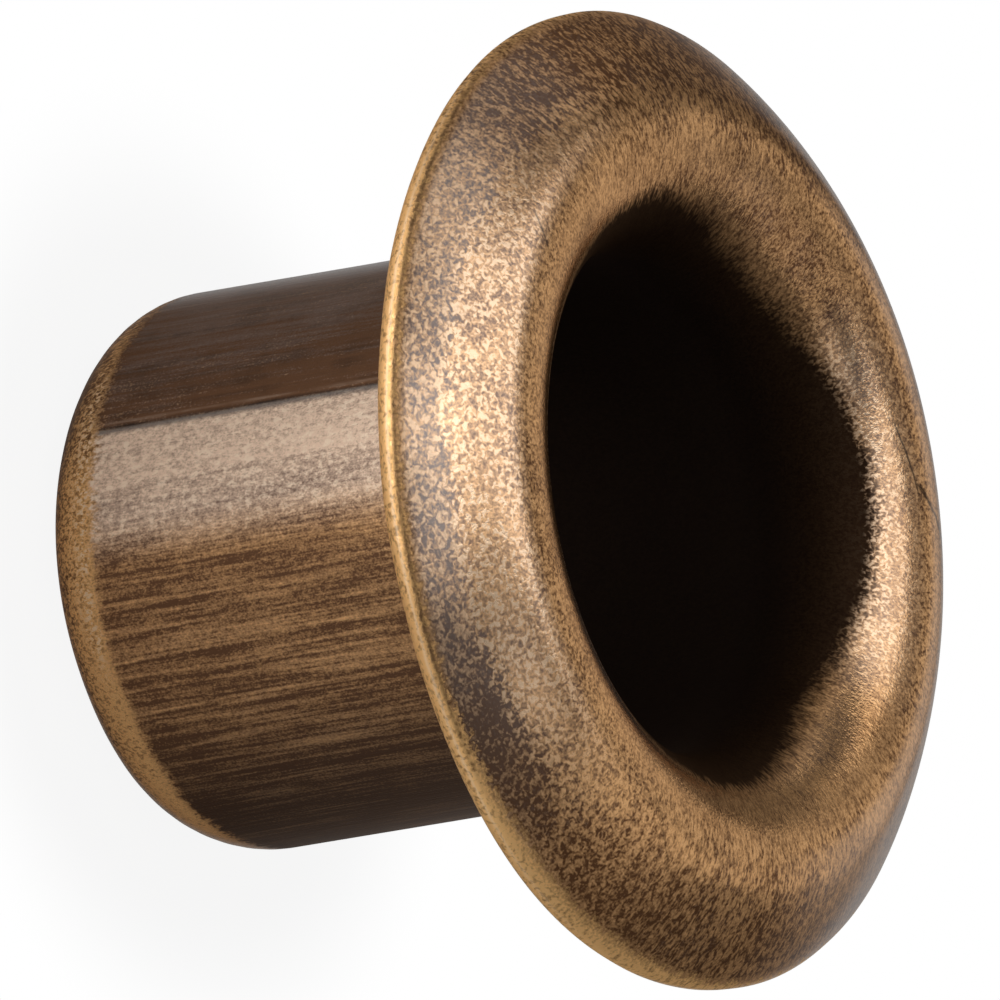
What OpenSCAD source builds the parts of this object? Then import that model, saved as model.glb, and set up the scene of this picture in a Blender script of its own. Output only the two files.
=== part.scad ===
// Drawn sheet-brass grommet (eyelet): a straight barrel that opens through a
// broad lip into a domed flange, made from one piece of sheet. It stands on the
// foot of the barrel with the flange on top. Millimetres, +Z along the bore.

/* [Barrel] */
// Clear bore through the barrel
bore_d = 4.0; // [3.6:0.1:4.4]
// Thickness of the drawn sheet
sheet_t = 0.25; // [0.15:0.01:0.35]
// Height from the foot of the barrel to the crown of the flange
total_h = 5.25; // [4.5:0.05:8]

/* [Foot] */
// Outer radius of the drawn corner that turns the wall in at the foot
foot_r = 0.65; // [0.45:0.05:0.85]
// Diameter of the hole pierced through the foot
foot_hole_d = 3.1; // [2.6:0.1:3.4]

/* [Flange] */
// Diameter over the rim of the flange
flange_d = 7.9; // [7.6:0.1:8.2]
// Face-side radius of the lip that rolls from the bore up to the crown
lip_r = 0.95; // [0.8:0.05:1]
// Face-side radius of the crown, from its top out to the skirt
crown_r = 0.66; // [0.5:0.02:0.7]
// Slope in degrees at which the crown passes into the skirt
crown_slope = 32; // [28:1:36]
// Face-side radius of the skirt, from the crown down to the rim
skirt_r = 2.95; // [2.7:0.05:3.4]

/* [Hidden] */
// Points on a full turn of the body and on each circle of its section
TURN_FN = 180;
ARC_FN = 120;
// How far the cutting outlines reach past what they cut
REACH = 2;
bore_r = bore_d / 2;
barrel_r = bore_r + sheet_t;
foot_hole_r = foot_hole_d / 2;
// Centre of the foot's drawn corner
foot_c = [barrel_r - foot_r, foot_r];
// The crown's top stands over the centre of the lip, where the two arcs meet level
lip_c = [bore_r + lip_r, total_h - lip_r];
crown_c = [lip_c.x, total_h - crown_r];
// Crown and skirt meet on a line through both centres, so they meet tangent
joint_dir = [sin(crown_slope), cos(crown_slope)];
skirt_c = crown_c - (skirt_r - crown_r) * joint_dir;
// The sheet ends in a full round, so its middle stops half a sheet inside the rim
edge_r = sheet_t / 2;
edge_x = flange_d / 2 - edge_r;
rim_slope = asin((edge_x - skirt_c.x) / (skirt_r - edge_r));
rim_dir = [sin(rim_slope), cos(rim_slope)];
edge_c = skirt_c + (skirt_r - edge_r) * rim_dir;
// Far ends of the two lines that part the crown, the skirt and the rim's round
joint_far = crown_c + REACH * joint_dir;
rim_far = edge_c + REACH * rim_dir;
top_z = total_h + REACH;
side_x = flange_d / 2 + REACH;

// Sets a shape down at a point: whole thousandths of a millimetre, then the rest
module put(point) {
    coarse = [round(point.x * 1000), round(point.y * 1000)] / 1000;
    translate(coarse) translate(point - coarse) children();
}

// One bend of the sheet about a centre, with face radius r, inside an outline
module bend(centre, r, outline) {
    intersection() {
        put(centre) difference() {
            circle(r, $fn = ARC_FN);
            circle(r - sheet_t, $fn = ARC_FN);
        }
        polygon(outline);
    }
}

// Wall of the barrel, between the foot's corner and the lip
module wall_section() {
    translate([bore_r, foot_c.y]) square([sheet_t, lip_c.y - foot_c.y]);
}

// Drawn corner of the foot and the narrow sole left round the pierced hole
module foot_section() {
    difference() {
        union() {
            bend(foot_c, foot_r, [
                foot_c, [foot_c.x, -REACH], [side_x, -REACH], [side_x, foot_c.y]
            ]);
            if (foot_c.x > foot_hole_r)
                translate([foot_hole_r, 0]) square([foot_c.x - foot_hole_r, sheet_t]);
        }
        translate([0, -REACH]) square([foot_hole_r, foot_r + REACH]);
    }
}

// Lip that rolls through a quarter turn, from the bore up to the crown
module lip_section() {
    bend(lip_c, lip_r, [lip_c, [lip_c.x, top_z], [0, top_z], [0, lip_c.y]]);
}

// Crown, from its level top out to where the skirt takes over
module crown_section() {
    bend(crown_c, crown_r, [crown_c, joint_far, [crown_c.x, top_z]]);
}

// Skirt, the long shallow bend that falls to the rim
module skirt_section() {
    bend(skirt_c, skirt_r, [skirt_c, crown_c, joint_far, rim_far]);
}

// Full round on the cut edge of the sheet
module rim_section() {
    outward = sheet_t * [rim_dir.y, -rim_dir.x];
    intersection() {
        put(edge_c) circle(edge_r, $fn = ARC_FN);
        polygon([skirt_c, rim_far, rim_far + outward, skirt_c + outward]);
    }
}

module grommet() {
    color("#7d5f43")
    rotate_extrude($fn = TURN_FN) union() {
        wall_section();
        foot_section();
        lip_section();
        crown_section();
        skirt_section();
        rim_section();
    }
}

grommet();
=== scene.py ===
"""Antique-brass grommet: one drawn piece of sheet, standing on the foot of its barrel."""
import logging
import math
from dataclasses import dataclass, field
from enum import Enum

import bmesh
import bpy
from mathutils import Matrix, Vector


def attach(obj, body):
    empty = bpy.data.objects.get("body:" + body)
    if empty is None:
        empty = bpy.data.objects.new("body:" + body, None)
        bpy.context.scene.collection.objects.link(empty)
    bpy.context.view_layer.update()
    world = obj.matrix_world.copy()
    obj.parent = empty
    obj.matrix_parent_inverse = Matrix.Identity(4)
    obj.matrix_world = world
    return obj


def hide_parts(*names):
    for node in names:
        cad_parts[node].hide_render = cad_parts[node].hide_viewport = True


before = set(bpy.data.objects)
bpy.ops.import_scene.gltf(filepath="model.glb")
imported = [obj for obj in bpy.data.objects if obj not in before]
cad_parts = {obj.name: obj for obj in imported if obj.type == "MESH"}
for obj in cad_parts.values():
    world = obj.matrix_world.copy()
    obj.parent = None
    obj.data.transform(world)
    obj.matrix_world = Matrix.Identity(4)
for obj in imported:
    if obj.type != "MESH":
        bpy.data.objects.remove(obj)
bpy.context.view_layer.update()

log = logging.getLogger("grommet")

Colour = tuple[float, float, float, float]

MM = 0.001
UP = Vector((0.0, 0.0, 1.0))
# The section is drawn in the plane of X and Z, where this axis turns it anticlockwise
SECTION_AXIS = Vector((0.0, -1.0, 0.0))

# Azimuths in degrees from the camera's side: the middle of what it sees, and the draw line
FACING = 6.0
DRAW_LINE = 35.0

# Relief of the finish in millimetres, and how far a crack's ends taper
PIT_DEPTH = 0.0024
LINE_DEPTH = 0.003
GROOVE_DEPTH = 0.012
MARK_TAPER = 0.05


class Station(Enum):
    """Places along the section, each with the length of the run up to it."""

    WALL = "wall"
    BACK = "back"
    RIM = "rim"
    SKIRT = "skirt"
    TOP = "top"
    BORE = "bore"
    HOLE = "hole"


class Sock:
    """A shader value that can be used in Python arithmetic."""

    def __init__(self, graph: "Graph", socket: bpy.types.NodeSocket) -> None:
        """Wraps an output socket of a graph."""
        self.graph = graph
        self.socket = socket

    def _math(self, operation: str, *values: object) -> "Sock":
        """Adds a Math node on this value and others.

        Args:
            operation: The Math node's operation.
            values: All the node's inputs in order, links or numbers.

        Returns:
            The result.
        """
        return self.graph.node("ShaderNodeMath", {"operation": operation}, dict(enumerate(values)))

    def __add__(self, other: object) -> "Sock":
        """Returns self + other."""
        return self._math("ADD", self, other)

    def __radd__(self, other: object) -> "Sock":
        """Returns other + self."""
        return self._math("ADD", other, self)

    def __sub__(self, other: object) -> "Sock":
        """Returns self - other."""
        return self._math("SUBTRACT", self, other)

    def __rsub__(self, other: object) -> "Sock":
        """Returns other - self."""
        return self._math("SUBTRACT", other, self)

    def __mul__(self, other: object) -> "Sock":
        """Returns self * other."""
        return self._math("MULTIPLY", self, other)

    def __truediv__(self, other: object) -> "Sock":
        """Returns self / other."""
        return self._math("DIVIDE", self, other)

    def __neg__(self) -> "Sock":
        """Returns minus self."""
        return self._math("MULTIPLY", self, -1.0)

    def __abs__(self) -> "Sock":
        """Returns the size of self without its sign."""
        return self._math("ABSOLUTE", self)

    def clamp(self) -> "Sock":
        """Returns self held between 0 and 1."""
        return self.graph.node("ShaderNodeClamp", {}, {0: self})

    def most(self, other: object) -> "Sock":
        """Returns the greater of self and other."""
        return self._math("MAXIMUM", self, other)

    def wrap(self, low: float, high: float) -> "Sock":
        """Returns self brought between low and high by whole turns."""
        return self._math("WRAP", self, high, low)

    def step(self, low: float, high: float) -> "Sock":
        """Returns a smooth step from 0 at low to 1 at high; low may be the greater.

        Args:
            low: The value that gives 0.
            high: The value that gives 1.

        Returns:
            The step, held between 0 and 1.
        """
        settings = {"interpolation_type": "SMOOTHSTEP", "clamp": True}
        sockets = {0: self, 1: low, 2: high, 3: 0.0, 4: 1.0}
        return self.graph.node("ShaderNodeMapRange", settings, sockets)

    def hump(self, centre: float, half_width: float) -> "Sock":
        """Returns a smooth hump that is 1 at centre and 0 from half_width away.

        Args:
            centre: The value that gives 1.
            half_width: How far from the centre the hump ends.

        Returns:
            The hump, held between 0 and 1.
        """
        return abs(self - centre).step(half_width, 0.0)


class Graph:
    """A node tree under construction."""

    def __init__(self, tree: bpy.types.NodeTree) -> None:
        """Empties a tree and starts it afresh."""
        self.tree = tree
        tree.nodes.clear()

    def node(
        self,
        kind: str,
        settings: dict[str, object] | None = None,
        sockets: dict[int | str, object] | None = None,
        output: int | str = 0,
    ) -> Sock:
        """Adds a node of any type.

        Args:
            kind: The node's type.
            settings: Its properties, set before its sockets.
            sockets: Values or links for its inputs, by name or number.
            output: Which of its outputs to return.

        Returns:
            The chosen output.
        """
        made = self.tree.nodes.new(kind)
        for name, value in (settings or {}).items():
            setattr(made, name, value)
        for key, value in (sockets or {}).items():
            if isinstance(value, Sock):
                self.tree.links.new(value.socket, made.inputs[key])
            else:
                made.inputs[key].default_value = value
        if not made.outputs:
            return Sock(self, None)
        return Sock(self, made.outputs[output])

    def vector(self, operation: str, *values: object) -> Sock:
        """Adds a Vector Math node.

        Args:
            operation: The node's operation.
            values: Its inputs in order.

        Returns:
            The vector result.
        """
        return self.node("ShaderNodeVectorMath", {"operation": operation}, dict(enumerate(values)))

    def combine(self, x: object, y: object, z: object) -> Sock:
        """Returns a vector of three values."""
        return self.node("ShaderNodeCombineXYZ", {}, {0: x, 1: y, 2: z})

    def split(self, vector: Sock) -> tuple[Sock, Sock, Sock]:
        """Takes a vector apart.

        Args:
            vector: The vector.

        Returns:
            Its three parts.
        """
        first = self.node("ShaderNodeSeparateXYZ", {}, {0: vector})
        outputs = first.socket.node.outputs
        return first, Sock(self, outputs[1]), Sock(self, outputs[2])

    def mix(self, share: object, first: object, second: object) -> Sock:
        """Mixes two colours.

        Args:
            share: How much of the second, from 0 to 1.
            first: A colour or a link.
            second: A colour or a link.

        Returns:
            The mixed colour.
        """
        settings = {"data_type": "RGBA", "clamp_factor": True}
        return self.node("ShaderNodeMix", settings, {0: share, 6: first, 7: second}, output=2)

    def noise(
        self, place: Sock, scale: float, detail: float = 2.0, rough: float = 0.5, swirl: float = 0.0
    ) -> Sock:
        """Returns smooth noise about 0.5.

        Args:
            place: Where the noise is read.
            scale: Features per unit of place.
            detail: Octaves.
            rough: How strong each finer octave is.
            swirl: How far the pattern is distorted.

        Returns:
            The noise value.
        """
        sockets = {
            "Vector": place,
            "Scale": scale,
            "Detail": detail,
            "Roughness": rough,
            "Distortion": swirl,
        }
        return self.node("ShaderNodeTexNoise", {}, sockets)


@dataclass(frozen=True)
class Section:
    """The sheet's section in millimetres, as a run of bends and straights."""

    bore_r: float = 2.0
    sheet: float = 0.25
    height: float = 5.25
    foot_r: float = 0.65
    hole_r: float = 1.55
    rim_r: float = 3.95
    lip_r: float = 0.95
    crown_r: float = 0.66
    crown_slope: float = 32.0
    skirt_r: float = 2.95
    burr_r: float = 0.04
    slack: float = 0.005
    step: float = 0.085

    @property
    def lip_centre(self) -> Vector:
        """Centre of the lip's bend."""
        return Vector((self.bore_r + self.lip_r, 0.0, self.height - self.lip_r))

    @property
    def crown_centre(self) -> Vector:
        """Centre of the crown's bend."""
        return Vector((self.bore_r + self.lip_r, 0.0, self.height - self.crown_r))

    @property
    def skirt_centre(self) -> Vector:
        """Works out the centre of the skirt's bend, on the line on which the crown ends.

        Returns:
            The centre.
        """
        slope = math.radians(self.crown_slope)
        reach = self.skirt_r - self.crown_r
        return self.crown_centre - reach * Vector((math.sin(slope), 0.0, math.cos(slope)))

    @property
    def rim_slope(self) -> float:
        """Slope of the skirt in degrees where the rim's round begins."""
        reach = self.rim_r - self.sheet / 2 - self.skirt_centre.x
        return math.degrees(math.asin(reach / (self.skirt_r - self.sheet / 2)))

    @property
    def rim_centre(self) -> Vector:
        """Works out the centre of the rim's full round.

        Returns:
            The centre.
        """
        slope = math.radians(self.rim_slope)
        reach = self.skirt_r - self.sheet / 2
        return self.skirt_centre + reach * Vector((math.sin(slope), 0.0, math.cos(slope)))

    @property
    def foot_centre(self) -> Vector:
        """Centre of the foot's drawn corner."""
        return Vector((self.bore_r + self.sheet - self.foot_r, 0.0, self.foot_r))


class SectionPen:
    """Draws the section as a wire by spinning and extruding one vertex."""

    def __init__(self, start: Vector, step: float) -> None:
        """Starts a wire.

        Args:
            start: Where the wire starts, in millimetres.
            step: Longest edge of the wire.
        """
        self.mesh = bmesh.new()
        self.step = step
        self.run = 0.0
        self.layer = self.mesh.verts.layers.float.new("run")
        self.tip = bmesh.ops.create_vert(self.mesh, co=start)["vert"][0]

    def _advance(self, made: list, length: float) -> None:
        """Stores the run on new vertices and moves the tip to the last of them.

        Args:
            made: The new geometry in order.
            length: How much the run grows by.
        """
        verts = [item for item in made if isinstance(item, bmesh.types.BMVert)]
        for number, vert in enumerate(verts, 1):
            vert[self.layer] = self.run + length * number / len(verts)
        self.run += length
        self.tip = verts[-1]

    def bend(self, centre: Vector, degrees: float) -> None:
        """Carries the tip round a centre.

        Args:
            centre: The centre of the bend.
            degrees: The turn, anticlockwise in X and Z.
        """
        radius = (self.tip.co - centre).length
        length = radius * abs(math.radians(degrees))
        steps = max(3, math.ceil(length / self.step))
        turn = Matrix.Rotation(math.radians(degrees) / steps, 3, SECTION_AXIS)
        made = []
        vert = self.tip
        for _ in range(steps):
            new = bmesh.ops.extrude_vert_indiv(self.mesh, verts=[vert])["verts"][0]
            bmesh.ops.rotate(self.mesh, verts=[new], cent=centre, matrix=turn)
            made.append(new)
            vert = new
        self._advance(made, length)

    def straight(self, offset: Vector, steps: int = 1) -> None:
        """Carries the tip along a straight.

        Args:
            offset: From the tip to the straight's end.
            steps: How many edges it is made of.
        """
        made = []
        vert = self.tip
        for _ in range(steps):
            new = bmesh.ops.extrude_vert_indiv(self.mesh, verts=[vert])["verts"][0]
            bmesh.ops.translate(self.mesh, verts=[new], vec=offset / steps)
            made.append(new)
            vert = new
        self._advance(made, offset.length)


@dataclass(frozen=True)
class Dent:
    """A shallow dent or swelling of the flange's edge."""

    azimuth: float
    half_width: float
    inward: float
    drop: float = 0.0

    def share(self, azimuth: float) -> float:
        """Returns how much of the dent is felt at an azimuth, from 0 to 1."""
        away = abs((azimuth - self.azimuth + 180.0) % 360.0 - 180.0)
        return 0.5 + 0.5 * math.cos(math.pi * min(1.0, away / self.half_width))


@dataclass
class Grommet:
    """The one piece of the object."""

    section: Section = field(default_factory=Section)
    segments: int = 288
    wall_steps: int = 24
    foot_reach: float = 2.2
    dents: tuple[Dent, ...] = (
        Dent(-86.0, 20.0, 0.016),
        Dent(145.0, 28.0, 0.018),
        Dent(-46.0, 32.0, -0.044),
        Dent(-126.0, 28.0, -0.036),
        Dent(-160.0, 26.0, -0.016),
        Dent(5.0, 9.0, 0.010, 0.014),
        Dent(26.0, 10.0, -0.006, -0.010),
        Dent(-8.0, 8.0, -0.006, -0.008),
        Dent(66.0, 20.0, -0.014),
    )
    foot_dents: tuple[Dent, ...] = (
        Dent(-50.0, 36.0, -0.036),
        Dent(80.0, 40.0, -0.010),
    )

    def draw_section(self) -> tuple[SectionPen, dict[Station, float]]:
        """Draws the closed section.

        Returns:
            The pen that holds the wire, and the run at each station.
        """
        s = self.section
        foot, lip, crown, skirt, rim = (
            s.foot_centre, s.lip_centre, s.crown_centre, s.skirt_centre, s.rim_centre
        )
        burr_x = s.hole_r + s.burr_r
        pen = SectionPen(Vector((burr_x, 0.0, 0.0)), s.step)
        stations = {}
        pen.straight(Vector((foot.x - burr_x, 0.0, 0.0)))
        pen.bend(foot, 90)
        stations[Station.WALL] = pen.run
        wall = Vector((0.0, 0.0, lip.z - foot.z))
        pen.straight(wall, self.wall_steps)
        stations[Station.BACK] = pen.run
        pen.bend(lip, -90)
        pen.bend(crown, -s.crown_slope)
        pen.bend(skirt, s.crown_slope - s.rim_slope)
        pen.bend(rim, 90)
        stations[Station.RIM] = pen.run
        pen.bend(rim, 90)
        stations[Station.SKIRT] = pen.run
        pen.bend(skirt, s.rim_slope - s.crown_slope)
        pen.bend(crown, s.crown_slope)
        stations[Station.TOP] = pen.run
        pen.bend(lip, 90)
        stations[Station.BORE] = pen.run
        pen.straight(-wall, self.wall_steps)
        pen.bend(foot, -90)
        pen.straight(Vector((burr_x - foot.x, 0.0, 0.0)))
        pen.bend(Vector((burr_x, 0.0, s.sheet - s.burr_r)), 90)
        pen.straight(Vector((0.0, 0.0, 2 * s.burr_r - s.sheet)))
        pen.bend(Vector((burr_x, 0.0, s.burr_r)), 90)
        stations[Station.HOLE] = pen.run
        return pen, stations

    def dent_flange(self, bm: bmesh.types.BMesh) -> None:
        """Takes the flange and the foot a little out of true, as a tumbled part is.

        Args:
            bm: The spun body, in millimetres.
        """
        s = self.section
        inner, outer = s.lip_centre.x, s.rim_r
        for vert in bm.verts:
            radius = math.hypot(vert.co.x, vert.co.y)
            azimuth = math.degrees(math.atan2(-vert.co.x, -vert.co.y))
            if vert.co.z < self.foot_reach:
                reach = 1.0 - vert.co.z / self.foot_reach
                inward = sum(dent.inward * dent.share(azimuth) for dent in self.foot_dents)
                swell = 1.0 - reach * inward / radius
                vert.co.x *= swell
                vert.co.y *= swell
                continue
            if radius <= inner:
                continue
            reach = ((radius - inner) / (outer - inner)) ** 2
            inward = sum(dent.inward * dent.share(azimuth) for dent in self.dents)
            drop = sum(dent.drop * dent.share(azimuth) for dent in self.dents)
            shrink = 1.0 - reach * (inward + s.slack) / radius
            vert.co.x *= shrink
            vert.co.y *= shrink
            vert.co.z -= reach * drop

    @staticmethod
    def lay_run(bm: bmesh.types.BMesh, full_run: float) -> None:
        """Stores the turn and the run as a UV map, whole across the place where the run closes.

        Args:
            bm: The spun body.
            full_run: The run once round the section.
        """
        layer = bm.verts.layers.float["run"]
        uv = bm.loops.layers.uv.new("section_run")
        for face in bm.faces:
            runs = [loop.vert[layer] for loop in face.loops]
            turns = [math.atan2(-loop.vert.co.x, -loop.vert.co.y) / math.tau for loop in face.loops]
            closing = max(runs) - min(runs) > full_run / 2
            crossing = max(turns) - min(turns) > 0.5
            for loop, run, turn in zip(face.loops, runs, turns):
                lift = full_run if closing and run < full_run / 2 else 0.0
                lap = 1.0 if crossing and turn < 0.0 else 0.0
                loop[uv].uv = (turn + lap, run + lift)

    def build(self) -> tuple[bpy.types.Object, dict[Station, float]]:
        """Spins the section into the body.

        Returns:
            The object, and the run at each station.
        """
        pen, stations = self.draw_section()
        bm = pen.mesh
        bmesh.ops.remove_doubles(bm, verts=bm.verts, dist=1e-5)
        bmesh.ops.spin(
            bm,
            geom=list(bm.verts) + list(bm.edges),
            cent=(0.0, 0.0, 0.0),
            axis=UP,
            angle=math.tau,
            steps=self.segments,
            use_merge=True,
        )
        self.dent_flange(bm)
        self.lay_run(bm, stations[Station.HOLE])
        bmesh.ops.scale(bm, verts=bm.verts, vec=(MM, MM, MM))
        bmesh.ops.recalc_face_normals(bm, faces=bm.faces)
        for face in bm.faces:
            face.smooth = True
        mesh = bpy.data.meshes.new("grommet_brass")
        bm.to_mesh(mesh)
        bm.free()
        piece = bpy.data.objects.new("grommet_brass", mesh)
        bpy.context.scene.collection.objects.link(piece)
        return piece, stations


@dataclass
class Bearings:
    """Where a shaded point lies on the body, in millimetres and degrees."""

    graph: Graph

    def __post_init__(self) -> None:
        """Adds the nodes that work out the bearings."""
        g = self.graph
        spot = g.node("ShaderNodeTexCoord", {}, {}, "Object")
        self.place = g.node("ShaderNodeVectorMath", {"operation": "SCALE"}, {0: spot, 3: 1 / MM})
        x, y, _ = g.split(self.place)
        flat = g.combine(x, y, 0.0)
        self.across, self.along, _ = g.split(g.vector("NORMALIZE", flat))
        turn = g.node("ShaderNodeMath", {"operation": "ARCTAN2"}, {0: -x, 1: -y})
        self.azimuth = turn * math.degrees(1.0)
        self.behind = self.azimuth.wrap(0.0, 360.0)
        uv = g.node("ShaderNodeUVMap", {"uv_map": "section_run"})
        self.run = g.split(uv)[1]

    def flow(self, round_rate: float, run_rate: float) -> Sock:
        """Returns a place that follows the sheet, for textures drawn out one way.

        Args:
            round_rate: Units for each radian round the axis.
            run_rate: Units for each millimetre along the section.

        Returns:
            The place as a vector.
        """
        across, along = self.across * round_rate, self.along * round_rate
        return self.graph.combine(across, along, self.run * run_rate)


@dataclass(frozen=True)
class Mark:
    """A crack or scratch, straight in azimuth and run, in degrees and millimetres past the crown's top."""

    start: float
    start_rise: float
    end: float
    end_rise: float
    half_width: float
    depth: float
    wanders: bool = True

    def draw(self, angle: Sock, run: Sock, top: float) -> Sock:
        """Draws the mark with tapered ends.

        Args:
            angle: The shaded point's azimuth.
            run: Its run along the section.
            top: The run at the crown's top.

        Returns:
            A mask as strong as the mark is deep.
        """
        start_run, end_run = top + self.start_rise, top + self.end_rise
        slope = (self.end - self.start) / (end_run - start_run)
        middle = (run - start_run) * slope + self.start
        line = abs(angle - middle).step(self.half_width, 0.0)
        ends = run.hump((start_run + end_run) / 2, abs(end_run - start_run) / 2 + MARK_TAPER)
        return line * (ends * 4.0).clamp() * self.depth


class Grain:
    """The noises of the tumbled flange and the drawn barrel, each about 0.5."""

    def __init__(self, at: Bearings, stations: dict[Station, float]) -> None:
        """Adds the noises.

        Args:
            at: The shaded point's bearings.
            stations: The run at each place along the section.
        """
        g = at.graph
        tumbled = at.flow(round_rate=3.2, run_rate=1.0)
        self.pits = g.noise(tumbled, scale=46.0, detail=1.0)
        self.mottle = g.noise(at.place, scale=2.6, detail=3.0, rough=0.6)
        self.cloud = g.noise(at.place, scale=1.0)

        self.lines = g.noise(at.flow(round_rate=2.25, run_rate=0.040), scale=34.0)
        self.grooves = g.noise(at.flow(round_rate=2.25, run_rate=0.035), scale=13.0)
        bands = g.noise(at.flow(round_rate=2.25, run_rate=0.10), scale=3.6, rough=0.6)
        self.drawn = (self.lines - 0.5) * 1.5 + (self.grooves - 0.5) + (bands - 0.5) * 0.9

        # The flange's grain runs together at its face and is drawn out along its sides
        peel = g.noise(tumbled, scale=23.0, detail=1.5, swirl=0.5)
        streak = g.noise(at.flow(round_rate=4.0, run_rate=0.60), scale=22.0, detail=1.5, swirl=0.5)
        sides = abs(abs(at.azimuth) - 92.0).step(55.0, 20.0)
        flange_grain = g.node("ShaderNodeMix", {"data_type": "FLOAT"}, {0: sides, 2: peel, 3: streak})
        grit = g.noise(at.flow(round_rate=2.4, run_rate=0.70), scale=22.0, detail=3.0, rough=0.65)
        wall, back = stations[Station.WALL], stations[Station.BACK]
        self.barrel = at.run.step(wall - 0.1, wall) * at.run.step(back + 0.1, back)
        on_flange = flange_grain.step(0.33, 0.65) * (1.0 - self.barrel)
        self.worms = on_flange + grit.step(0.32, 0.68) * self.barrel


class Zones:
    """Masks, each from 0 to 1, of the parts of the body, of how worn they are and of where light and shade
    are painted on them.
    """

    def __init__(self, at: Bearings, stations: dict[Station, float], grain: Grain) -> None:
        """Adds the masks.

        Args:
            at: The shaded point's bearings.
            stations: The run at each place along the section.
            grain: The noises that fray the masks' edges.
        """
        azimuth = at.azimuth
        self.away = abs(azimuth - FACING)
        self.this_side = abs(azimuth).step(176.0, 140.0)
        # Away from the sector near azimuth 20 that the lamps light: the grey ring is darkened there as
        # painted shade, partly patina.
        self.away_from_light = abs(azimuth - 20.0).step(24.0, 44.0)
        self.low_left = abs(azimuth + 38.0).step(42.0, 20.0)
        self.frayed = at.run + (grain.mottle - 0.5) * 0.16 + (grain.worms - 0.5) * 0.10
        self._mask_barrel(at, stations)
        self._mask_flange(at, stations)
        self._mask_bore(at, stations, grain)

    def _mask_barrel(self, at: Bearings, stations: dict[Station, float]) -> None:
        """Masks the foot, the wall and the wall's bands, which carry painted shade on the shaded and
        turned-away sides and a painted highlight on real rubbing in the bright band.

        Args:
            at: The shaded point's bearings.
            stations: The run at each place along the section.
        """
        azimuth = at.azimuth
        wall, back = stations[Station.WALL], stations[Station.BACK]
        self.foot = self.frayed.step(wall + 0.05, wall - 0.07)
        self.foot_sole = at.run.step(wall - 0.12, wall - 0.50)
        self.foot_crest = at.run.step(wall - 0.32, wall - 0.05)
        self.wall = (1.0 - self.foot) * (1.0 - at.run.step(back - 0.1, back + 0.1))
        # Painted shade, partly a real patina boundary: the wall beyond the draw line is darkened in colour.
        self.shaded = azimuth.step(DRAW_LINE - 0.4, DRAW_LINE + 0.4) * self.wall * self.this_side
        # Painted shade: the side of the barrel turned from the lamps is darkened in colour.
        self.lee_shade = azimuth.step(-14.0, -62.0) * self.wall * self.this_side
        # Painted highlight on real rubbing: the wall's bright band is made paler in colour where the low
        # lamp reflects.
        band = azimuth.step(4.0, 16.0) * azimuth.step(DRAW_LINE + 0.4, DRAW_LINE - 0.4)
        self.highlight_band = band * self.wall

    def _mask_flange(self, at: Bearings, stations: dict[Station, float]) -> None:
        """Masks the flange, its rim, its grey ring and what is lit, calm, tarnished, or painted paler under
        a highlight or darker as a dark reflection.

        Args:
            at: The shaded point's bearings.
            stations: The run at each place along the section.
        """
        run, azimuth, behind, frayed = at.run, at.azimuth, at.behind, self.frayed
        skirt, top, back = stations[Station.SKIRT], stations[Station.TOP], stations[Station.BACK]
        self.flange = run.step(back + 1.0, back + 1.4)

        broad = azimuth.step(-8.0, -42.0) * azimuth.step(-100.0, -60.0)
        from_rim = abs(frayed - stations[Station.RIM] + 0.02)
        self.rim = (from_rim - broad * 0.11).step(0.230, 0.185)

        soft = (azimuth.step(60.0, 105.0) + azimuth.step(-16.0, -50.0)) * 0.92
        past_skirt = frayed - skirt
        border = (past_skirt - 0.40 - self.away.step(15.0, 110.0) * 0.55) / (0.07 + soft * 0.40)
        self.ring = past_skirt.step(-0.02, 0.08) * border.step(1.0, -1.0) * (1.0 - soft * 0.35)

        sunny = azimuth.step(86.0, 36.0) * azimuth.step(-46.0, -12.0)
        near_light = sunny * run.step(skirt, skirt + 0.06) * run.step(top - 0.02, top - 0.2)
        far_light = abs(behind - 188.0).step(44.0, 24.0) * run.hump(top + 0.5, 0.5)
        self.lit = near_light + far_light
        self.calm = abs(behind - 202.0).step(78.0, 40.0) * run.step(top + 0.04, top - 0.12) * self.flange
        # Painted dark reflection, partly patina: a darker band just past the crown's top on the far side.
        self.rind_dark_reflection = run.hump(top + 0.10, 0.15) * abs(behind - 186.0).step(52.0, 30.0)
        # Painted highlight on real polish: the crown is paler near azimuth -12, where the main highlight
        # falls.
        self.polish_and_highlight = abs(azimuth + 12.0).step(34.0, 12.0) * run.hump(top - 0.5, 0.5)
        self.tarnished = behind.hump(125.0, 55.0) * run.hump(top + 0.45, 0.5)

    def _mask_bore(self, at: Bearings, stations: dict[Station, float], grain: Grain) -> None:
        """Masks the bore's dark, patina with painted shade, which reaches farther up the lip on two sides,
        and its depths.

        Args:
            at: The shaded point's bearings.
            stations: The run at each place along the section.
            grain: The noises that fray the border of that dark.
        """
        run, behind = at.run, at.behind
        top = stations[Station.TOP]
        lip_run = stations[Station.BORE] - top
        raised = behind.hump(135.0, 50.0) * 0.22 + behind.hump(236.0, 44.0) * 0.24
        frayed = (grain.mottle - 0.5) * 0.14 + (grain.worms - 0.5) * 0.07
        veiled = behind.hump(126.0, 50.0) * 0.17 + behind.hump(240.0, 50.0) * 0.12
        into_bore_shade = run - top - raised - frayed - 0.37 * lip_run
        self.inner = (into_bore_shade / (0.06 * lip_run + veiled)).step(-1.0, 1.0)
        self.depths = run.step(top + lip_run * 0.7, top + lip_run * 1.2)
        self.lip = run.step(top - 0.2, top + 0.4)
        self.lip_shoulder = run.step(top - 0.02, top + 0.20)


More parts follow.
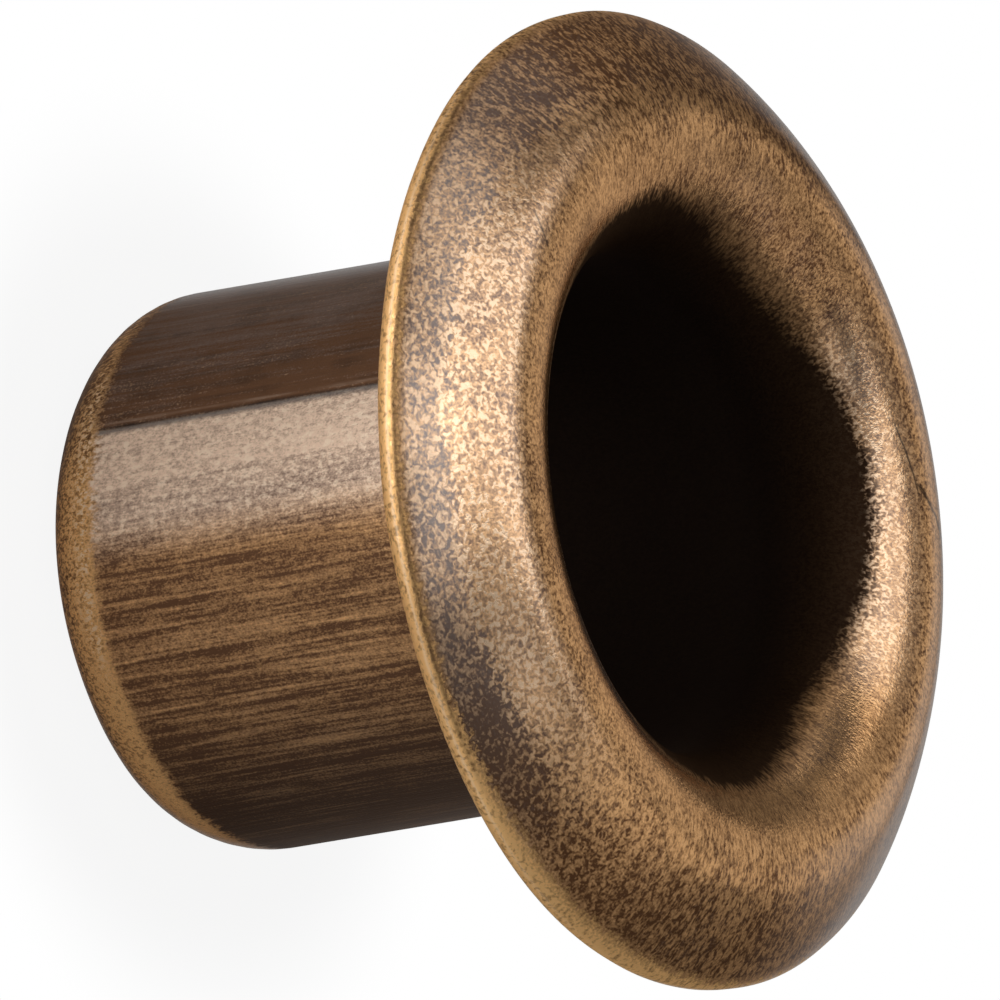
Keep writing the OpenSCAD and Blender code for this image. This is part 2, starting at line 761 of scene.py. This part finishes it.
@dataclass(frozen=True)
class AntiqueBrass:
    """Brass with a dark tumbled patina, worn bright on its edges."""

    brass: Colour = (0.94, 0.565, 0.235, 1.0)
    gilt: Colour = (1.0, 0.63, 0.27, 1.0)
    rubbed: Colour = (0.86, 0.475, 0.205, 1.0)
    burnish_and_highlight: Colour = (1.0, 0.80, 0.58, 1.0)
    wiped_and_highlight: Colour = (0.86, 0.63, 0.47, 1.0)
    patina: Colour = (0.145, 0.066, 0.030, 1.0)
    bloom: Colour = (0.19, 0.13, 0.105, 1.0)
    # Dark of the bore: patina, with painted shade where the lip reflects darkness.
    soot_and_bore_shade: Colour = (0.016, 0.008, 0.005, 1.0)
    cinder: Colour = (0.060, 0.040, 0.032, 1.0)
    glancing: Colour = (0.72, 0.63, 0.57, 1.0)
    wax_roughness: float = 0.25
    wax_ior: float = 2.0
    marks: tuple[Mark, ...] = (
        Mark(176.0, 0.22, 184.0, 0.12, 1.5, 1.0),
        Mark(184.0, 0.12, 193.0, -0.34, 1.2, 1.0),
        Mark(310.0, 0.02, 299.5, -0.46, 0.50, 0.5),
        Mark(296.0, 0.04, 295.4, -0.30, 0.45, 0.4),
        Mark(48.6, -0.27, 45.4, -0.05, 0.45, 0.9, wanders=False),
    )

    def material(self, stations: dict[Station, float]) -> bpy.types.Material:
        """Builds the finish.

        Args:
            stations: The run at each place along the section.

        Returns:
            The material.
        """
        made = bpy.data.materials.new("antique_brass")
        made.use_nodes = True
        FinishNodes(Graph(made.node_tree), stations, self).build()
        return made


class FinishNodes:
    """The nodes of the antique finish."""

    def __init__(self, graph: Graph, stations: dict[Station, float], finish: AntiqueBrass) -> None:
        """Adds the nodes that the parts of the finish share.

        Args:
            graph: The material's node tree.
            stations: The run at each place along the section.
            finish: The colours and marks.
        """
        self.graph = graph
        self.stations = stations
        self.finish = finish
        self.at = Bearings(graph)
        self.grain = Grain(self.at, stations)
        self.zones = Zones(self.at, stations, self.grain)
        self.draw_line = self.at.azimuth + (self.grain.lines - 0.5) * 0.8
        self.groove = self.draw_line.hump(DRAW_LINE - 0.2, 1.5)
        self.edge_run = self.at.run + (self.grain.worms - 0.5) * 0.012

    def cracks(self) -> Sock:
        """Draws the few fine cracks and scratches of the flange.

        Returns:
            A mask that is 1 in the middle of a full crack.
        """
        at = self.at
        wander = (self.graph.noise(at.flow(3.2, 1.0), scale=9.0, detail=3.0, rough=0.6) - 0.5) * 2.4
        wandering = at.behind + wander
        top = self.stations[Station.TOP]
        whole = None
        for mark in self.finish.marks:
            drawn = mark.draw(wandering if mark.wanders else at.azimuth, at.run, top)
            whole = drawn if whole is None else whole.most(drawn)
        return whole

    def contrast(self) -> Sock:
        """Works out how strongly the grain shows.

        Returns:
            The share of the grain in the wear.
        """
        z = self.zones
        share = (
            0.30 + z.flange * 0.44 + z.foot * 0.58 + z.highlight_band * 0.22 - z.lee_shade * 0.2
            - z.ring * z.low_left * 0.2
        )
        return share * (1.0 - z.calm * 0.55) * (1.0 - z.lip_shoulder * 0.45) * (1.0 - z.shaded * 0.6)

    def wear_and_light(self) -> Sock:
        """Works out how far the patina is worn through, with painted shade and painted highlights laid into
        the same value.

        Returns:
            The worn-through share with painted shade and highlights, from 0 for dark patina to 1 for brass
            worn clean.
        """
        at, n, z = self.at, self.grain, self.zones
        azimuth, run, top = at.azimuth, at.run, self.stations[Station.TOP]
        flange_wear_and_light = (
            z.rim * (0.36 - azimuth.step(40.0, 75.0) * z.this_side * 0.35)
            + z.polish_and_highlight * 0.18
            + z.calm * 0.10
            - z.tarnished * 0.36
            - at.behind.hump(100.0, 75.0) * z.flange * 0.10
            # A darker band at the crown's top on the camera's side, partly patina and partly painted dark
            # reflection.
            - run.hump(top + 0.15, 0.35) * z.away.step(60.0, 20.0) * 0.10
            - z.rind_dark_reflection * 0.12
            - z.ring * (0.16 + z.away_from_light * 0.30 + z.low_left * 0.22)
        )
        # Painted shade: the foot is darker on the shaded side past azimuth 22.
        foot_wear_and_shade = z.foot * (0.40 - azimuth.step(22.0, 42.0) * z.this_side * 0.6 - z.foot_sole * 0.6)
        # Painted highlight on the bright band and painted shade on the shaded and turned-away bands, with
        # the real draw marks.
        wall_wear_and_light = (
            z.highlight_band * (0.50 + azimuth.step(18.0, 28.0) * 0.12)
            - z.shaded * 0.46
            - z.lee_shade * 0.3
            - z.wall * 0.34
            + n.drawn * z.wall * (1.0 - z.highlight_band * 0.45) * (1.0 - z.shaded * 0.5)
        )
        spots = (
            (n.worms - 0.5) * self.contrast()
            + (n.pits - 0.5) * 1.1
            + (n.mottle - 0.5) * (0.8 - z.wall * 0.5)
            + (n.cloud - 0.5) * 0.4
        )
        return (0.60 + flange_wear_and_light + foot_wear_and_shade + wall_wear_and_light + spots).clamp()

    def greyness(self) -> Sock:
        """Works out how grey the patina is.

        Returns:
            The greyness, from 0 for brown to 1 for grey.
        """
        at, n, z = self.at, self.grain, self.zones
        top = self.stations[Station.TOP]
        return (
            0.15
            + (n.cloud - 0.5) * 1.2
            + (n.pits - 0.5) * 1.5
            # Painted sheen: the grey ring is greyer facing the camera near the lit sector.
            + z.ring * (0.85 - z.away_from_light * 0.45) * z.away.step(85.0, 40.0)
            - z.ring * z.low_left * 0.5
            + at.behind.hump(240.0, 50.0) * at.run.hump(top + 0.62, 0.3) * 0.9
            - z.wall * 0.3
            + z.shaded * at.azimuth.step(37.0, 60.0) * 0.7
            + n.drawn * z.wall * 1.3
        ).clamp()

    def clean_colour(self, wear_and_light: Sock) -> Sock:
        """Mixes patina and brass, with the brightest specks on top, partly painted highlights.

        Args:
            wear_and_light: How far the patina is worn through, with painted shade and highlights.

        Returns:
            The colour before the darkening of the bore, the groove, the cracks and the shaded sides.
        """
        g, z, f = self.graph, self.zones, self.finish
        dark = g.mix(self.greyness(), f.patina, f.bloom)
        light = g.mix((1.0 - z.rim - z.foot * 0.5).clamp(), f.brass, f.rubbed)
        # The bright band takes a pale colour, partly a painted highlight.
        light = g.mix(z.highlight_band * 0.8, light, f.wiped_and_highlight)
        gilded = z.rim * self.at.azimuth.step(-12.0, -36.0) * z.this_side
        light = g.mix(gilded * 0.8, light, f.gilt)
        colour = g.mix(wear_and_light, dark, light)
        # Pale specks, partly painted highlights: they are laid mostly where the lamps reflect, on the lit
        # flange, the bright band and the foot's lit crest.
        cream_and_highlight = z.foot * z.foot_crest * (1.0 - z.away_from_light)
        highlight_fleck_share = (
            z.lit * (0.45 - z.ring * 0.15) + z.highlight_band * 0.55 + cream_and_highlight * 0.7 + z.flange * 0.05
        )
        flecks_and_highlight = self.grain.worms.step(0.60, 1.0) * highlight_fleck_share
        colour = g.mix(flecks_and_highlight * wear_and_light, colour, f.burnish_and_highlight)
        # Painted highlight: a pale line along the rim's round, on the side facing the camera.
        skirt = self.stations[Station.SKIRT]
        glint = self.edge_run.hump(skirt - 0.082, 0.026) * z.away.step(75.0, 25.0)
        colour = g.mix(glint * 0.4, colour, f.burnish_and_highlight)
        # A paler line along the draw line's upper side, a burr partly given a painted highlight.
        burr = self.draw_line.hump(DRAW_LINE + 1.4, 0.6) * z.wall * (0.10 + (self.grain.mottle - 0.5) * 0.5)
        return g.mix(burr.clamp(), colour, f.wiped_and_highlight)

    def soiled_and_shaded(self, colour: Sock) -> Sock:
        """Darkens the bore, the groove, the cracks, a line on the rim and the shaded sides: painted shade
        on all but the cracks, with patina too in the bore.

        Args:
            colour: The colour before them.

        Returns:
            The colour with them.
        """
        g, n, z, azimuth = self.graph, self.grain, self.zones, self.at.azimuth
        # Painted dark reflection: a thin dark line just inside the rim's round, on the side facing the
        # camera.
        rim_foot = self.edge_run.hump(self.stations[Station.SKIRT] - 0.022, 0.030)
        rim_shade_line = rim_foot * azimuth.step(86.0, 36.0) * azimuth.step(-36.0, -14.0)
        # Darker patches on the shaded band, partly painted shade.
        grime_and_shade = z.shaded * (n.grooves * 0.5 + n.mottle * 0.5).step(0.46, 0.64)
        # The groove and the turned-away side are darkened as painted shade.
        dirt_and_shade = (
            self.groove * z.wall * 0.8 + z.inner * 0.97 + self.cracks() * 0.8 + z.lee_shade * 0.7
            + rim_shade_line * 0.55 + grime_and_shade * 0.36
        )
        deep = g.mix(z.depths, self.finish.soot_and_bore_shade, self.finish.cinder)
        return g.mix(dirt_and_shade.clamp(), colour, deep)

    def roughness(self, wear_and_light: Sock) -> Sock:
        """Works out the roughness.

        Args:
            wear_and_light: How far the patina is worn through, with painted shade and highlights.

        Returns:
            The roughness.
        """
        z = self.zones
        part = 0.32 - z.lip * 0.10 + z.ring * 0.12 + z.rim * 0.28 + z.wall * 0.10 + z.inner * 0.40
        return part - wear_and_light * 0.04 + (self.grain.pits - 0.5) * 0.12

    def relief(self) -> Sock:
        """Turns pits, draw marks and the draw line into a bump.

        Returns:
            The bumped normal.
        """
        n = self.grain
        height = n.pits * PIT_DEPTH + (n.lines * LINE_DEPTH - self.groove * GROOVE_DEPTH) * n.barrel
        return self.graph.node("ShaderNodeBump", {}, {"Strength": 1.0, "Distance": MM, "Height": height})

    def wax(self) -> Sock:
        """Works out how strong the clear coat is, which is also glossier at a glance.

        Returns:
            The coat's weight.
        """
        z, behind = self.zones, self.at.behind
        facing = self.graph.node("ShaderNodeLayerWeight", {}, {"Blend": 0.5}, "Facing")
        turned = behind.step(90.0, 140.0) * behind.step(360.0, 325.0) * (1.0 - z.wall)
        glance = facing.step(0.70, 1.0) * (turned + z.shaded)
        glaze = z.lit * 0.9 + z.highlight_band * 0.8 + z.wall * 0.10 + glance * 1.2 + z.calm * 0.6
        return glaze.clamp() * (1.0 - z.inner) * (1.0 - z.rim * 0.6)

    def build(self) -> None:
        """Joins the parts of the finish in one metal shader."""
        wear_and_light = self.wear_and_light()
        sockets = {
            "Base Color": self.soiled_and_shaded(self.clean_colour(wear_and_light)),
            "Metallic": 1.0,
            "Roughness": self.roughness(wear_and_light),
            "Normal": self.relief(),
            "Specular Tint": self.finish.glancing,
            "Coat Weight": self.wax(),
            "Coat Roughness": self.finish.wax_roughness,
            "Coat IOR": self.finish.wax_ior,
        }
        shader = self.graph.node("ShaderNodeBsdfPrincipled", {}, sockets)
        self.graph.node("ShaderNodeOutputMaterial", {}, {"Surface": shader})


@dataclass(frozen=True)
class Softbox:
    """A rectangular lamp that faces the object."""

    name: str
    azimuth: float
    elevation: float
    distance: float
    width: float
    height: float
    radiance: float

    def build(self, target: Vector) -> bpy.types.Object:
        """Makes the lamp.

        Args:
            target: The point that it faces, in metres.

        Returns:
            The lamp's object.
        """
        turn, lift = math.radians(self.azimuth), math.radians(self.elevation)
        level = Vector((-math.sin(turn), -math.cos(turn), 0.0))
        out = math.cos(lift) * level + math.sin(lift) * UP
        lamp = bpy.data.lights.new(self.name, "AREA")
        lamp.shape = "RECTANGLE"
        lamp.size, lamp.size_y = self.width, self.height
        lamp.energy = self.radiance * math.pi * self.width * self.height
        made = bpy.data.objects.new(self.name, lamp)
        made.location = target + self.distance * out
        made.rotation_mode = "QUATERNION"
        made.rotation_quaternion = out.to_track_quat("Z", "Y")
        made.visible_camera = False
        bpy.context.scene.collection.objects.link(made)
        return made


@dataclass
class Studio:
    """Floor, surroundings, lamps and camera."""

    rim_centre: Vector
    rim_radius: float
    lean: float = 58.18
    roll: float = 9.63
    distance: float = 0.35
    rim_pixel: tuple[float, float] = (656.6, 501.1)
    rim_radius_pixels: float = 496.4
    frame_pixels: float = 1000.0
    floor_radius: float = 0.6
    shade_ends: tuple[float, float] = (0.0026, 0.0042)
    shaded_glow: float = 0.9
    reflected_glow: float = 0.09
    dim_sky: float = 0.18
    lamps: tuple[Softbox, ...] = (
        Softbox("overhead_box", 112.0, 71.0, 0.06, 0.058, 0.044, 1.2),
        Softbox("zenith_box", 0.0, 86.0, 0.06, 0.020, 0.020, 0.26),
        Softbox("left_high_box", 62.0, 50.0, 0.06, 0.030, 0.020, 0.24),
        Softbox("left_top_box", 30.0, 57.0, 0.06, 0.022, 0.016, 2.1),
        Softbox("left_mid_box", 92.0, 37.0, 0.06, 0.022, 0.022, 0.8),
        Softbox("front_high_box", 0.0, 58.0, 0.06, 0.016, 0.016, 0.8),
        Softbox("right_top_box", 285.0, 66.0, 0.06, 0.022, 0.016, 0.5),
        Softbox("right_side_box", 272.0, 20.0, 0.06, 0.030, 0.020, 0.4),
        Softbox("back_high_box", 172.0, 43.0, 0.06, 0.044, 0.020, 0.22),
        Softbox("back_left_box", 125.0, 16.0, 0.06, 0.034, 0.024, 0.52),
        Softbox("back_box", 192.0, 18.0, 0.06, 0.044, 0.034, 0.48),
        Softbox("back_right_box", 228.0, 48.0, 0.06, 0.044, 0.026, 0.5),
        Softbox("front_low_box", 30.0, -5.0, 0.014, 0.014, 0.0064, 2.5),
        Softbox("right_low_box", 318.0, -5.0, 0.014, 0.008, 0.0064, 0.5),
    )

    def camera(self) -> bpy.types.Object:
        """Makes the camera at the photograph's angle: the axis leans away from the view.

        Returns:
            The camera's object.
        """
        lean, roll = math.radians(self.lean), math.radians(self.roll)
        back = Vector((0.0, -math.sin(lean), math.cos(lean)))
        along = (UP - UP.dot(back) * back).normalized()
        across = back.cross(along)
        right = math.cos(roll) * along - math.sin(roll) * across
        up = math.sin(roll) * along + math.cos(roll) * across
        pixel = self.rim_radius / self.rim_radius_pixels
        middle = self.frame_pixels / 2
        shift_right = (self.rim_pixel[0] - middle) * pixel
        shift_up = (middle - self.rim_pixel[1]) * pixel
        place = self.rim_centre + self.distance * back - shift_right * right - shift_up * up
        data = bpy.data.cameras.new("camera")
        data.sensor_width = 36.0
        data.lens = data.sensor_width * self.distance / (self.frame_pixels * pixel)
        data.clip_start, data.clip_end = 0.01, 10.0
        made = bpy.data.objects.new("camera", data)
        basis = Matrix((right, up, back)).transposed().to_4x4()
        made.matrix_world = Matrix.Translation(place) @ basis
        bpy.context.scene.collection.objects.link(made)
        bpy.context.scene.camera = made
        return made

    def floor(self) -> bpy.types.Object:
        """Makes the pale floor under the sole, which glows white away from the object's shade.

        Returns:
            The floor's object.
        """
        bm = bmesh.new()
        bmesh.ops.create_circle(bm, cap_ends=True, segments=96, radius=self.floor_radius)
        mesh = bpy.data.meshes.new("floor")
        bm.to_mesh(mesh)
        bm.free()
        made = bpy.data.objects.new("floor", mesh)
        bpy.context.scene.collection.objects.link(made)
        material = bpy.data.materials.new("floor_white")
        material.use_nodes = True
        g = Graph(material.node_tree)
        matt = g.node("ShaderNodeBsdfDiffuse", {}, {"Color": (0.6, 0.6, 0.6, 1.0)})
        glow = g.node("ShaderNodeEmission", {}, {"Color": (1.0, 1.0, 1.0, 1.0), "Strength": 1.0})
        camera = g.node("ShaderNodeLightPath", {}, {}, "Is Camera Ray")
        glossy = g.node("ShaderNodeLightPath", {}, {}, "Is Glossy Ray")
        clear = g.node("ShaderNodeLightPath", {}, {}, "Is Transmission Ray")
        spot = g.node("ShaderNodeTexCoord", {}, {}, "Object")
        away = g.node("ShaderNodeVectorMath", {"operation": "LENGTH"}, {0: spot}, "Value")
        seen = camera * (self.shaded_glow + away.step(*self.shade_ends) * (1.0 - self.shaded_glow))
        seen = seen + (glossy + clear) * self.reflected_glow
        surface = g.node("ShaderNodeMixShader", {}, {0: seen.clamp(), 1: matt, 2: glow})
        g.node("ShaderNodeOutputMaterial", {}, {"Surface": surface})
        mesh.materials.append(material)
        return made

    def surroundings(self) -> None:
        """Sets the world: white to the camera, a dim studio to the object."""
        world = bpy.data.worlds.new("studio")
        bpy.context.scene.world = world
        world.use_nodes = True
        g = Graph(world.node_tree)
        camera = g.node("ShaderNodeLightPath", {}, {}, "Is Camera Ray")
        strength = self.dim_sky + camera * (1.0 - self.dim_sky)
        sockets = {"Color": (1.0, 1.0, 1.0, 1.0), "Strength": strength}
        glow = g.node("ShaderNodeBackground", {}, sockets)
        g.node("ShaderNodeOutputWorld", {}, {"Surface": glow})

    def build(self) -> None:
        """Makes everything round the object."""
        self.camera()
        self.floor()
        self.surroundings()
        for lamp in self.lamps:
            lamp.build(self.rim_centre)
        bpy.context.scene.view_settings.view_transform = "Standard"


def main() -> None:
    """Builds the scene, piece by piece."""
    logging.basicConfig(level=logging.INFO, format="%(message)s")
    grommet = Grommet()
    s = grommet.section
    studio = Studio(Vector((0.0, 0.0, s.rim_centre.z)) * MM, s.rim_r * MM)
    studio.build()
    piece, stations = grommet.build()
    piece.data.materials.append(AntiqueBrass().material(stations))
    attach(piece, "root")
    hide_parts("grommet")
    log.info("grommet: %d faces, run %.2f mm", len(piece.data.polygons), stations[Station.HOLE])


if __name__ == "__main__":
    main()
